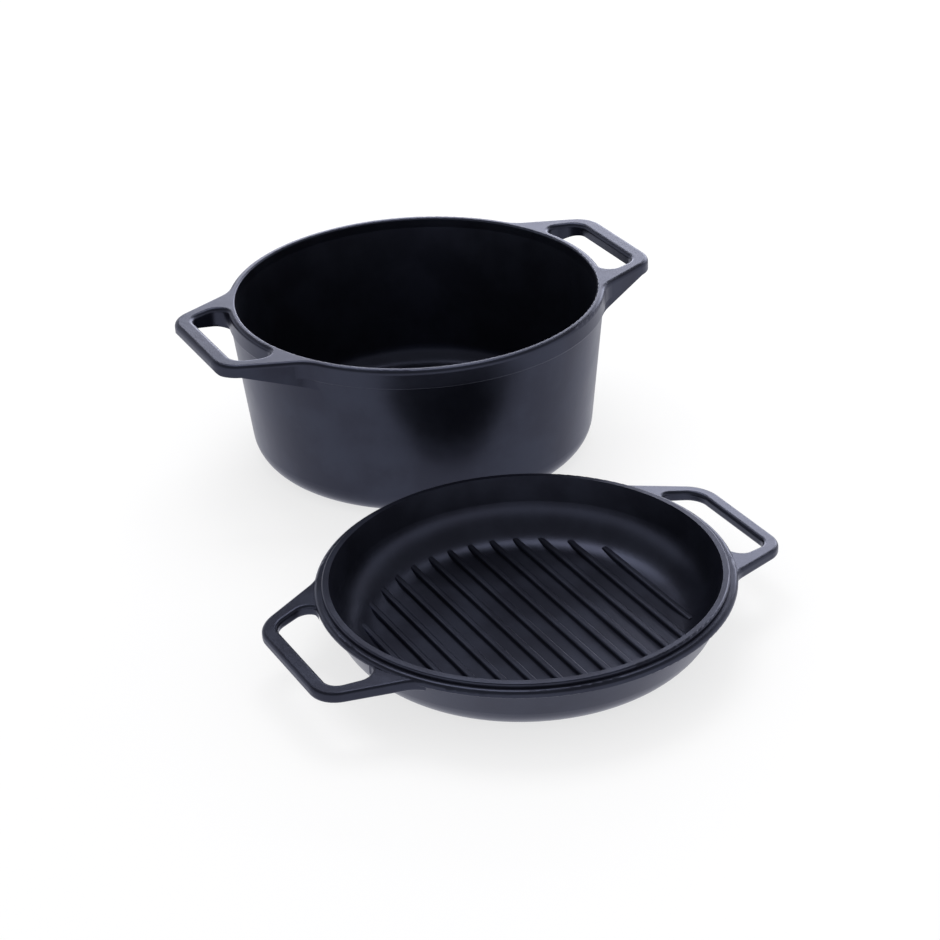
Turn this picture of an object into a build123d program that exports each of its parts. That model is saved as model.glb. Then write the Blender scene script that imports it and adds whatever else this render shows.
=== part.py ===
from build123d import *
import math
import os

# A deep cast iron pot and a shallow ribbed grill pan that turns over to become the pot's lid.
# Millimetres, +Z up. The origin is the centre of the pot's base, and X runs through its handles.

# Pot bowl
pot_height = 112.4
mouth_radius = 121.0
mouth_depth = 7.0
rim_width = 5.5
collar_height = 13.0
pot_wall = 4.7
pot_floor = 5.0
pot_wall_lean = 6.0
pot_corner_radius = 19.3

# Grill pan bowl
ledge_height = 40.0
lip_height = 2.6
lip_clearance = 1.0
lip_width = 4.2
flange_width = 4.6
flange_thickness = 4.0
pan_floor = 5.0
pan_wall = 7.3
pan_wall_lean = 25.8
pan_inner_lean = 12.0
pan_corner_radius = 32.0
pan_cove_radius = 27.0

# Grill ribs, which run parallel to the handle bars
rib_count = 13
rib_pitch = 14.05
rib_width = 4.2
rib_height = 2.9
rib_crest_radius = 1.2
rib_bed = 0.4
rib_end_inset = 16.2

# Loop handles in plan, with their finger room from the bowl's ring out to the bar
pot_finger_room = 20.8
pan_finger_room = 21.4
pot_bar_width = 12.4
pan_bar_width = 9.4
bar_half_width = 43.0
side_flare = 0.42
hole_half_width = 37.5
hole_flare = 0.30
handle_corner_radius = 20.0
handle_root_radius = 24.0
hole_corner_radius = 11.0
hole_root_radius = 8.0

# Side view of the handles
pot_bar_thickness = 8.0
pot_arm_slope = 0.27
pan_bar_thickness = 6.7
pan_root_thickness = 7.2
pan_bar_drop = 7.0
bar_underside_radius = 3.0
arm_root_angle = 34.5
root_drop = 0.4
root_sink = 0.8
root_above_rounding = 0.3

# Rounded edges
top_edge_radius = 3.0
collar_edge_radius = 1.2
mouth_edge_radius = 1.2
lip_edge_radius = 1.2
flange_edge_radius = 2.6
flange_under_radius = 0.8
pan_bar_edge_radius = 2.2

# Where the pan stands beside the pot, as its handles are nearly in line with the pot's
pan_stand_x = -59.5
pan_stand_y = -256.9
pan_stand_turn = 1.1

# Sizes that follow
touch = 0.01
rim_radius = mouth_radius + rim_width
collar_level = pot_height - collar_height
mouth_foot = pot_height - mouth_depth
lip_radius = mouth_radius - lip_clearance
lip_inner_radius = lip_radius - lip_width
lip_level = ledge_height + lip_height
flange_radius = lip_radius + flange_width
flange_level = ledge_height - flange_thickness
lip_middle = 0.5 * (lip_inner_radius + lip_radius)
bar_level = ledge_height - pan_bar_drop
beyond = 4.0 * rim_radius
pot_hole_reach = rim_radius + pot_finger_room
pan_hole_reach = flange_radius + pan_finger_room
pot_handle_reach = pot_hole_reach + pot_bar_width
pan_handle_reach = pan_hole_reach + pan_bar_width


def root_x(ring_radius):
    """How far out the arms meet a ring."""
    return ring_radius * math.cos(math.radians(arm_root_angle))


def corner_near(sketch, x, y):
    """The vertex of a sketch that lies nearest to a point."""
    return sketch.vertices().sort_by_distance((x, y, 0))[0]


def rounded_section(points, roundings):
    """A closed section whose named corners are rounded, each given as (x, z, radius)."""
    section = make_face(Polyline(*points, close=True))
    for x, z, radius in roundings:
        section = fillet(corner_near(section, x, z), radius)
    return section


def turned(section):
    """A section of radius and height, turned once round the axis."""
    return revolve(Plane.XZ * section, Axis.Z)


def loop_plan(reach):
    """The two loops from above, as one bar-to-bar outline with rounded outer corners."""
    root_half_width = bar_half_width + side_flare * reach
    loops = Polygon(
        (-reach, -bar_half_width), (0, -root_half_width), (reach, -bar_half_width),
        (reach, bar_half_width), (0, root_half_width), (-reach, bar_half_width), align=None,
    )
    corners = loops.vertices().filter_by(lambda v: abs(v.X) > touch)
    return fillet(corners, handle_corner_radius)


def handle_plan(ring_radius, reach):
    """The ring's disc with its loops, whose roots run into the ring in a curve."""
    plan = Circle(ring_radius) + loop_plan(reach)
    roots = plan.vertices().filter_by(
        lambda v: abs(math.hypot(v.X, v.Y) - ring_radius) < touch and abs(v.Y) > touch
    )
    return fillet(roots, handle_root_radius)


def hole_plan(bar_inside):
    """A finger hole from above, from its bar in to the bowl's middle."""
    hole_root = hole_half_width + hole_flare * bar_inside
    hole = Polygon(
        (0, -hole_root), (bar_inside, -hole_half_width),
        (bar_inside, hole_half_width), (0, hole_root), align=None,
    )
    return fillet(hole.vertices().filter_by(lambda v: v.X > touch), hole_corner_radius)


def hole_outside_ring(ring_radius, bar_inside):
    """The finger hole's part outside a ring, with its corners at the ring rounded too."""
    hole = hole_plan(bar_inside) - Circle(ring_radius)
    roots = hole.vertices().filter_by(lambda v: abs(math.hypot(v.X, v.Y) - ring_radius) < touch)
    return fillet(roots, hole_root_radius)


def both_sides(solid):
    """A solid and its mirror image on the other side of the bowl."""
    return solid + mirror(solid, Plane.YZ)


def prism_between(plan, low, high):
    """A plan raised between two levels."""
    return extrude(Pos(0, 0, low) * plan, amount=high - low)


def top_outline(solid):
    """The edges where the upward faces end, which leaves out the edges between two of them."""
    upward = [face for face in solid.faces() if face.normal_at(None).Z > 0.5]
    edges = [edge for face in upward for edge in face.edges()]
    return ShapeList([edge for edge in edges if edges.count(edge) == 1])


def widest_flat(solid, way):
    """The largest flat face that looks mostly up, for a way of 1, or down, for -1."""
    flats = solid.faces().filter_by(GeomType.PLANE)
    return flats.filter_by(lambda f: way * f.normal_at(None).Z > 0.9).sort_by(SortBy.AREA)[-1]


def pot_wall_radius(level):
    """How far out the face of the pot's leaning wall is at a level."""
    lean = math.radians(pot_wall_lean)
    return mouth_radius + pot_wall / math.cos(lean) + math.tan(lean) * (level - mouth_foot)


def pot_bowl():
    """The pot's bowl without its inside, with its collar."""
    base_radius = pot_wall_radius(0)
    return turned(rounded_section(
        [
            (0, 0), (base_radius, 0), (pot_wall_radius(collar_level), collar_level),
            (rim_radius, collar_level), (rim_radius, pot_height), (0, pot_height),
        ],
        [(base_radius, 0, pot_corner_radius), (rim_radius, collar_level, collar_edge_radius)],
    ))


def pot_loops(ring_radius, low, high):
    """What both loops have between two levels, with the disc of the ring they come out of."""
    root = root_x(rim_radius)
    bar_under = pot_height - pot_bar_thickness
    root_under = bar_under - pot_arm_slope * (pot_hole_reach - root)
    side_view = rounded_section(
        [
            (0, pot_height), (pot_handle_reach, pot_height), (pot_handle_reach, bar_under),
            (pot_hole_reach, bar_under), (root, root_under), (0, root_under),
        ],
        [(pot_handle_reach, bar_under, bar_underside_radius)],
    )
    slab = both_sides(extrude(Plane.XZ * side_view, amount=beyond, both=True))
    holes = both_sides(prism_between(hole_outside_ring(ring_radius, pot_hole_reach), 0, beyond))
    return (prism_between(handle_plan(ring_radius, pot_handle_reach), low, high) & slab) - holes


def pot_inside():
    """The space inside the pot, with a straight mouth for the lid's lip."""
    lean = math.tan(math.radians(pot_wall_lean))
    floor_line = mouth_radius - lean * (mouth_foot - pot_floor)
    return turned(rounded_section(
        [
            (0, pot_floor), (floor_line, pot_floor), (mouth_radius, mouth_foot),
            (mouth_radius, pot_height + mouth_depth), (0, pot_height + mouth_depth),
        ],
        [(floor_line, pot_floor, pot_corner_radius - pot_wall)],
    ))


def make_pot():
    """The pot, with its top edges rounded all round, in the finger holes and at the mouth."""
    loop_middle = collar_level + collar_edge_radius + root_above_rounding
    body = pot_bowl() + pot_loops(rim_radius, loop_middle, pot_height)
    body = fillet(top_outline(body), top_edge_radius)
    under_collar = pot_wall_radius(collar_level) - root_sink
    body = body + pot_loops(under_collar, 0, loop_middle) - pot_inside()
    mouth = body.edges().filter_by_position(
        Axis.Z, pot_height - touch, pot_height + touch
    ).filter_by(lambda e: e.geom_type == GeomType.CIRCLE and abs(e.radius - mouth_radius) < touch)
    return fillet(mouth, mouth_edge_radius)


def pan_inner_radius(level):
    """How far out the pan's inner wall is at a level, above its cove."""
    return lip_inner_radius - math.tan(math.radians(pan_inner_lean)) * (lip_level - level)


def pan_bowl():
    """The pan without its inside, with its wall, flange and lip."""
    wall_top = pan_inner_radius(flange_level) + pan_wall
    base_radius = wall_top - math.tan(math.radians(pan_wall_lean)) * flange_level
    return turned(rounded_section(
        [
            (0, 0), (base_radius, 0), (wall_top, flange_level), (flange_radius, flange_level),
            (flange_radius, ledge_height), (lip_radius, ledge_height), (lip_radius, lip_level),
            (0, lip_level),
        ],
        [
            (base_radius, 0, pan_corner_radius),
            (flange_radius, flange_level, flange_under_radius),
            (flange_radius, ledge_height, flange_edge_radius),
            (lip_radius, lip_level, lip_edge_radius),
        ],
    ))


def pan_handle():
    """One loop of the pan, which comes out of the flange and drops to its bar."""
    root = root_x(flange_radius)
    top = ledge_height - root_drop
    bar_under = bar_level - pan_bar_thickness
    root_under = top - pan_root_thickness
    side_view = Polygon(
        (root, root_under), (pan_handle_reach, bar_under), (pan_handle_reach, bar_level),
        (root, top), align=None,
    )
    beside_bowl = Pos(root, 0, 0) * Rectangle(beyond, beyond, align=(Align.MIN, Align.CENTER))
    sunk_ring = flange_radius - root_sink
    plan = (handle_plan(sunk_ring, pan_handle_reach) & beside_bowl) - Circle(lip_middle)
    plan = plan - hole_outside_ring(sunk_ring, pan_hole_reach)
    slab = extrude(Plane.XZ * side_view, amount=beyond, both=True)
    loop = prism_between(plan, 0, ledge_height) & slab
    loop = fillet(widest_flat(loop, 1).edges(), pan_bar_edge_radius)
    under_flange = hole_plan(pan_hole_reach) & Circle(sunk_ring)
    loop = loop - prism_between(under_flange, 0, flange_level + root_sink)
    return fillet(widest_flat(loop, -1).edges(), pan_bar_edge_radius)


def pan_inside():
    """The space inside the pan, with its wide cove."""
    floor_line = pan_inner_radius(pan_floor)
    return turned(rounded_section(
        [
            (0, pan_floor), (floor_line, pan_floor), (lip_inner_radius, lip_level),
            (lip_inner_radius, lip_level + mouth_depth), (0, lip_level + mouth_depth),
        ],
        [(floor_line, pan_floor, pan_cove_radius)],
    ))


def grill_ribs():
    """Narrow ribs with rounded crests that run out into the cove at both ends."""
    crest = pan_floor + rib_height
    bed = pan_floor - rib_bed
    half = rib_width / 2
    section = rounded_section(
        [(-half, bed), (half, bed), (half, crest), (-half, crest)],
        [(half, crest, rib_crest_radius), (-half, crest, rib_crest_radius)],
    )
    end_circle = lip_inner_radius - rib_end_inset
    ribs = []
    for index in range(rib_count):
        spot = (index - (rib_count - 1) / 2) * rib_pitch
        length = math.sqrt(end_circle ** 2 - (abs(spot) + half) ** 2)
        ribs.append(Pos(spot, 0, 0) * extrude(Plane.XZ * section, amount=length, both=True))
    return ribs


def make_pan():
    """The grill pan, centred on its own axis."""
    return pan_bowl() + both_sides(pan_handle()) - pan_inside() + grill_ribs()


os.makedirs("parts", exist_ok=True)
pot = make_pot()
pan_stand = Location((pan_stand_x, pan_stand_y, 0), (0, 0, pan_stand_turn))
grill_pan = pan_stand * make_pan()
export_step(pot, "parts/pot.step")
export_step(grill_pan, "parts/grill_pan.step")
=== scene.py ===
"""A seasoned cast iron pot and its ribbed grill pan, standing on a pale studio floor."""

import math

import bpy
from mathutils import Matrix, Vector


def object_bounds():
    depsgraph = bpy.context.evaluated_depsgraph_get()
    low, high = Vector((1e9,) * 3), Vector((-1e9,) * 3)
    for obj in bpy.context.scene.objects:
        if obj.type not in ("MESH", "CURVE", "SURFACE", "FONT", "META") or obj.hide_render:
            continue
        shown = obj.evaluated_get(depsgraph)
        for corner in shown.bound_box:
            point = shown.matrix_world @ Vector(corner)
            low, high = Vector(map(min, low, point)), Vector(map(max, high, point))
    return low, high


bl_info = {
    "name": "Cast Iron Combo Cooker",
    "version": (1, 0, 0),
    "blender": (4, 5, 0),
    "location": "3D View > Sidebar > Cookware",
    "description": "Finishes a cast iron pot and its grill pan and sets them on a studio floor",
    "category": "Object",
}

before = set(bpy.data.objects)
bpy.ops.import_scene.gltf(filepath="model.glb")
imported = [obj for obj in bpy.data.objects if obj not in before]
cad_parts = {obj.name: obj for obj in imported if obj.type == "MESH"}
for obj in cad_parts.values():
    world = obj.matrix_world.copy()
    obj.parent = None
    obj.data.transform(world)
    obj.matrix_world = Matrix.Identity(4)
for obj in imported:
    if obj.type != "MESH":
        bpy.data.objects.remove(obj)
cad_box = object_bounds()

MM = 0.001
IRON = "Seasoned Cast Iron"
WHITE = (1.0, 1.0, 1.0, 1.0)

# The soft lamps, as place in metres, width and height
OVERHEAD_SOFTBOX = ((0.3, 0.7, 1.8), 1.2, 1.0)
BACK_SOFTBOX = ((1.3, 1.45, 0.6), 2.2, 0.8)

# Where the photograph was taken from, fitted to the outlines of both castings
CAMERA_PLACE = Vector((-617.75, -1322.37, 764.61)) * MM
CAMERA_HEADING = math.radians(-26.239)
CAMERA_TILT = math.radians(61.493)
CAMERA_ROLL = math.radians(-2.654)
CAMERA_LENS_MM = 91.314
CAMERA_SENSOR_MM = 36.0

# Sockets that are picked by their place, because their names repeat within a node
FIRST, SECOND = 0, 1
FIRST_SHADER, SECOND_SHADER = 1, 2
MIX_SHARE = 0
FIRST_NUMBER, SECOND_NUMBER, MIXED_NUMBER = 2, 3, 0
FIRST_COLOUR, SECOND_COLOUR, MIXED_COLOUR = 6, 7, 2


def linear(hex_colour):
    """An sRGB hex colour as linear red, green, blue and a full alpha."""
    channels = [int(hex_colour[place:place + 2], 16) / 255 for place in (1, 3, 5)]
    return (*[c / 12.92 if c <= 0.04045 else ((c + 0.055) / 1.055) ** 2.4 for c in channels], 1.0)


def add_node(tree, kind, inputs=None, **settings):
    """Adds one node, sets its properties, and gives each named input a value or a link."""
    node = tree.nodes.new(kind)
    for name, value in settings.items():
        setattr(node, name, value)
    for name, value in (inputs or {}).items():
        if isinstance(value, bpy.types.NodeSocket):
            tree.links.new(value, node.inputs[name])
        else:
            node.inputs[name].default_value = value
    return node


def empty_material(name):
    """A material with an empty node tree."""
    material = bpy.data.materials.new(name)
    material.use_nodes = True
    material.node_tree.nodes.clear()
    return material


class SeasonedIron(bpy.types.PropertyGroup):
    """How the seasoned, sand cast iron looks."""

    seasoning: bpy.props.FloatVectorProperty(
        name="Seasoning", description="Colour that the iron reflects where the baked oil lies thick",
        default=linear("#313340"), size=4, subtype="COLOR", min=0.0, max=1.0,
    )
    thin_seasoning: bpy.props.FloatVectorProperty(
        name="Thin Seasoning", description="Colour that it reflects where the oil lies thin",
        default=linear("#363947"), size=4, subtype="COLOR", min=0.0, max=1.0,
    )
    edge_tint: bpy.props.FloatVectorProperty(
        name="Edge Tint", description="Colour of its reflections at a grazing angle",
        default=linear("#f4f5ff"), size=4, subtype="COLOR", min=0.0, max=1.0,
    )
    metal_share: bpy.props.FloatProperty(
        name="Metal Share", description="How much of the skin shows as metal and not as oil",
        default=0.9, min=0.0, max=1.0, subtype="FACTOR",
    )
    roughness: bpy.props.FloatProperty(
        name="Roughness", description="Roughness of the satin surface",
        default=0.32, min=0.0, max=1.0, subtype="FACTOR",
    )
    roughness_spread: bpy.props.FloatProperty(
        name="Roughness Spread", description="How much the roughness changes from patch to patch",
        default=0.04, min=0.0, max=0.5, subtype="FACTOR",
    )
    # Sand marks are 0.2 to 0.5 mm wide, too fine to show here, so they are drawn coarser
    sand_grain: bpy.props.FloatProperty(
        name="Sand Grain", description="Width of the marks that the sand mould leaves",
        default=0.9 * MM, min=0.1 * MM, max=5 * MM, subtype="DISTANCE", unit="LENGTH",
    )
    sand_depth: bpy.props.FloatProperty(
        name="Sand Depth", description="Depth of the marks that the sand mould leaves",
        default=0.035 * MM, min=0.0, max=1 * MM, subtype="DISTANCE", unit="LENGTH", precision=5,
    )
    casting_wave: bpy.props.FloatProperty(
        name="Casting Wave", description="Width of the shallow waves in the cast skin",
        default=11 * MM, min=1 * MM, max=100 * MM, subtype="DISTANCE", unit="LENGTH",
    )
    wave_depth: bpy.props.FloatProperty(
        name="Wave Depth", description="Depth of the shallow waves in the cast skin",
        default=0.06 * MM, min=0.0, max=1 * MM, subtype="DISTANCE", unit="LENGTH", precision=5,
    )
    patch_width: bpy.props.FloatProperty(
        name="Patch Width", description="Width of the patches where the oil baked on thicker",
        default=32 * MM, min=1 * MM, max=200 * MM, subtype="DISTANCE", unit="LENGTH",
    )


class Studio(bpy.types.PropertyGroup):
    """The floor, the light all round and the lamps."""

    floor_side: bpy.props.FloatProperty(
        name="Floor Side", description="Side of the square floor",
        default=12.0, min=1.0, max=50.0, subtype="DISTANCE", unit="LENGTH",
    )
    floor_colour: bpy.props.FloatVectorProperty(
        name="Floor Colour", description="Colour of the pale floor",
        default=linear("#fafafc"), size=4, subtype="COLOR", min=0.0, max=1.0,
    )
    shadow_share: bpy.props.FloatProperty(
        name="Shadow Share", description="How much of the floor's own shading the camera sees",
        default=0.28, min=0.0, max=1.0, subtype="FACTOR",
    )
    sky_strength: bpy.props.FloatProperty(
        name="Sky Strength", description="Strength of the even white light all round",
        default=0.8, min=0.0, max=2.0,
    )
    ceiling: bpy.props.FloatProperty(
        name="Ceiling", description="Brightness of the studio's ceiling, where 1 is white",
        default=0.22, min=0.0, max=1.0, subtype="FACTOR",
    )
    white_up_to: bpy.props.FloatProperty(
        name="White Up To", description="Height over the horizon at which the white walls end",
        default=math.radians(14), min=0.0, max=math.radians(90), subtype="ANGLE", unit="ROTATION",
    )
    dark_from: bpy.props.FloatProperty(
        name="Dark From", description="Height over the horizon at which the dark ceiling starts",
        default=math.radians(36), min=0.0, max=math.radians(90), subtype="ANGLE", unit="ROTATION",
    )
    back_power: bpy.props.FloatProperty(
        name="Back Power", description="Power of the wide soft lamp behind, which lights the rims",
        default=22.0, min=0.0, max=500.0, subtype="POWER", unit="POWER",
    )
    overhead_power: bpy.props.FloatProperty(
        name="Overhead Power", description="Power of the large soft lamp overhead",
        default=13.0, min=0.0, max=500.0, subtype="POWER", unit="POWER",
    )


def cast_iron(settings):
    """Seasoned cast iron, sand cast and oiled: to the eye a near black satin skin with a faint
    blue cast and bright edges, fine grain from the mould, and patches where it gleams more."""
    material = empty_material(IRON)
    tree = material.node_tree
    place = add_node(tree, "ShaderNodeTexCoord").outputs["Object"]
    grain = add_node(tree, "ShaderNodeTexNoise", {
        "Vector": place, "Scale": 1 / settings.sand_grain, "Detail": 3.0, "Roughness": 0.6,
    })
    wave = add_node(tree, "ShaderNodeTexNoise", {
        "Vector": place, "Scale": 1 / settings.casting_wave, "Detail": 1.0, "Roughness": 0.4,
    })
    patches = add_node(tree, "ShaderNodeTexNoise", {
        "Vector": place, "Scale": 1 / settings.patch_width, "Detail": 4.0, "Roughness": 0.55,
    })
    patch_share = add_node(tree, "ShaderNodeMapRange", {
        "Value": patches.outputs["Fac"], "From Min": 0.35, "From Max": 0.65,
    }, interpolation_type="SMOOTHSTEP").outputs["Result"]
    colour = add_node(tree, "ShaderNodeMix", {
        MIX_SHARE: patch_share,
        FIRST_COLOUR: settings.seasoning, SECOND_COLOUR: settings.thin_seasoning,
    }, data_type="RGBA").outputs[MIXED_COLOUR]
    roughness = add_node(tree, "ShaderNodeMapRange", {
        "Value": patch_share,
        "To Min": settings.roughness - settings.roughness_spread / 2,
        "To Max": settings.roughness + settings.roughness_spread / 2,
    }).outputs["Result"]
    waved = add_node(tree, "ShaderNodeBump", {
        "Height": wave.outputs["Fac"], "Distance": settings.wave_depth, "Strength": 1.0,
    })
    grained = add_node(tree, "ShaderNodeBump", {
        "Height": grain.outputs["Fac"], "Distance": settings.sand_depth, "Strength": 1.0,
        "Normal": waved.outputs["Normal"],
    })
    iron = add_node(tree, "ShaderNodeBsdfPrincipled", {
        "Base Color": colour, "Roughness": roughness, "Normal": grained.outputs["Normal"],
        "Metallic": settings.metal_share, "Specular Tint": settings.edge_tint,
    })
    add_node(tree, "ShaderNodeOutputMaterial", {"Surface": iron.outputs["BSDF"]})
    return material


def seen_as_white(tree, camera_share):
    """How much of the plain white a ray sees: all of it in reflections and through glass, and
    the given share from the camera."""
    rays = add_node(tree, "ShaderNodeLightPath").outputs
    share = add_node(tree, "ShaderNodeMath", {
        FIRST: rays["Is Camera Ray"], SECOND: camera_share,
    }, operation="MULTIPLY").outputs["Value"]
    for kind in ("Is Glossy Ray", "Is Transmission Ray"):
        share = add_node(tree, "ShaderNodeMath", {
            FIRST: share, SECOND: rays[kind],
        }, operation="MAXIMUM").outputs["Value"]
    return share


def studio_paper(settings):
    """Matt white backdrop paper: to the eye an even white that keeps soft shadows, and plain
    white in reflections."""
    material = empty_material("Matt Backdrop Paper")
    tree = material.node_tree
    share = seen_as_white(tree, 1.0 - settings.shadow_share)
    paper = add_node(tree, "ShaderNodeBsdfDiffuse", {"Color": settings.floor_colour})
    white = add_node(tree, "ShaderNodeEmission", {"Color": WHITE, "Strength": 1.0})
    mixed = add_node(tree, "ShaderNodeMixShader", {
        "Fac": share, FIRST_SHADER: paper.outputs["BSDF"], SECOND_SHADER: white.outputs["Emission"],
    })
    add_node(tree, "ShaderNodeOutputMaterial", {"Surface": mixed.outputs["Shader"]})
    return material


def finish_casting(node_name, context):
    """Gives one casting the iron finish, which is made when the first casting asks for it."""
    material = bpy.data.materials.get(IRON) or cast_iron(context.scene.seasoned_iron)
    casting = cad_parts[node_name]
    casting.data.materials.clear()
    casting.data.materials.append(material)


class COOKER_OT_pot(bpy.types.Operator):
    """Finishes the deep pot"""

    bl_idname = "cooker.pot"
    bl_label = "Finish Pot"

    def execute(self, context):
        finish_casting("pot", context)
        return {"FINISHED"}


class COOKER_OT_grill_pan(bpy.types.Operator):
    """Finishes the ribbed grill pan"""

    bl_idname = "cooker.grill_pan"
    bl_label = "Finish Grill Pan"

    def execute(self, context):
        finish_casting("grill_pan", context)
        return {"FINISHED"}


def make_floor(settings):
    """One square of backdrop paper on which both castings stand."""
    half = settings.floor_side / 2
    mesh = bpy.data.meshes.new("backdrop_floor")
    corners = [(-half, -half, 0), (half, -half, 0), (half, half, 0), (-half, half, 0)]
    mesh.from_pydata(corners, [], [(0, 1, 2, 3)])
    mesh.materials.append(studio_paper(settings))
    floor = bpy.data.objects.new("backdrop_floor", mesh)
    bpy.context.scene.collection.objects.link(floor)


def make_sky(settings):
    """Even white light, which the camera and reflections see as white walls under a dark
    ceiling, so that upper edges are outlined as in the photograph."""
    world = bpy.data.worlds.new("Studio White")
    bpy.context.scene.world = world
    world.use_nodes = True
    tree = world.node_tree
    tree.nodes.clear()
    direction = add_node(tree, "ShaderNodeTexCoord").outputs["Generated"]
    height = add_node(tree, "ShaderNodeSeparateXYZ", {"Vector": direction}).outputs["Z"]
    room = add_node(tree, "ShaderNodeMapRange", {
        "Value": height,
        "From Min": math.sin(settings.white_up_to), "From Max": math.sin(settings.dark_from),
        "To Min": 1.0, "To Max": settings.ceiling,
    }, interpolation_type="SMOOTHSTEP").outputs["Result"]
    strength = add_node(tree, "ShaderNodeMix", {
        MIX_SHARE: seen_as_white(tree, 1.0),
        FIRST_NUMBER: settings.sky_strength, SECOND_NUMBER: room,
    }, data_type="FLOAT").outputs[MIXED_NUMBER]
    sky = add_node(tree, "ShaderNodeBackground", {"Color": WHITE, "Strength": strength})
    add_node(tree, "ShaderNodeOutputWorld", {"Surface": sky.outputs["Background"]})


def soft_lamp(name, softbox, aim, power):
    """A large flat lamp of one softbox's place and size, aimed at a point."""
    place, width, height = softbox
    lamp = bpy.data.lights.new(name, "AREA")
    lamp.shape = "RECTANGLE"
    lamp.size = width
    lamp.size_y = height
    lamp.energy = power
    holder = bpy.data.objects.new(name, lamp)
    bpy.context.scene.collection.objects.link(holder)
    holder.location = place
    holder.rotation_mode = "QUATERNION"
    holder.rotation_quaternion = (aim - Vector(place)).to_track_quat("-Z", "Y")


def make_camera():
    """The camera stands where the photograph was taken from."""
    camera = bpy.data.cameras.new("photograph_view")
    camera.sensor_width = CAMERA_SENSOR_MM
    camera.lens = CAMERA_LENS_MM
    holder = bpy.data.objects.new("photograph_view", camera)
    bpy.context.scene.collection.objects.link(holder)
    heading = Matrix.Rotation(CAMERA_HEADING, 4, "Z")
    tilt = Matrix.Rotation(CAMERA_TILT, 4, "X")
    roll = Matrix.Rotation(CAMERA_ROLL, 4, "Z")
    holder.matrix_world = Matrix.Translation(CAMERA_PLACE) @ heading @ tilt @ roll
    bpy.context.scene.camera = holder


class COOKER_OT_studio(bpy.types.Operator):
    """Makes the floor, the lamps and the camera"""

    bl_idname = "cooker.studio"
    bl_label = "Make Studio"

    def execute(self, context):
        settings = context.scene.cooker_studio
        make_floor(settings)
        make_sky(settings)
        middle = (cad_box[0] + cad_box[1]) / 2
        soft_lamp("overhead_softbox", OVERHEAD_SOFTBOX, middle, settings.overhead_power)
        soft_lamp("back_softbox", BACK_SOFTBOX, middle, settings.back_power)
        make_camera()
        context.scene.view_settings.view_transform = "Standard"
        return {"FINISHED"}


class COOKER_PT_panel(bpy.types.Panel):
    """Lists the cooker's settings, its pieces and its studio"""

    bl_idname = "COOKER_PT_panel"
    bl_label = "Combo Cooker"
    bl_space_type = "VIEW_3D"
    bl_region_type = "UI"
    bl_category = "Cookware"

    def draw(self, context):
        for group in (context.scene.seasoned_iron, context.scene.cooker_studio):
            box = self.layout.box()
            for name in group.bl_rna.properties.keys():
                if name not in ("rna_type", "name"):
                    box.prop(group, name)
        for operator in OPERATORS:
            self.layout.operator(operator.bl_idname)


OPERATORS = (COOKER_OT_pot, COOKER_OT_grill_pan, COOKER_OT_studio)
CLASSES = (SeasonedIron, Studio, *OPERATORS, COOKER_PT_panel)


def register():
    """Registers the classes and hangs their settings on the scene."""
    for made_class in CLASSES:
        bpy.utils.register_class(made_class)
    bpy.types.Scene.seasoned_iron = bpy.props.PointerProperty(type=SeasonedIron)
    bpy.types.Scene.cooker_studio = bpy.props.PointerProperty(type=Studio)


def unregister():
    """Takes the settings and the classes away again."""
    del bpy.types.Scene.cooker_studio
    del bpy.types.Scene.seasoned_iron
    for made_class in reversed(CLASSES):
        bpy.utils.unregister_class(made_class)


def main():
    """Builds the whole scene."""
    register()
    bpy.ops.cooker.pot()
    bpy.ops.cooker.grill_pan()
    bpy.ops.cooker.studio()


if __name__ == "__main__":
    main()
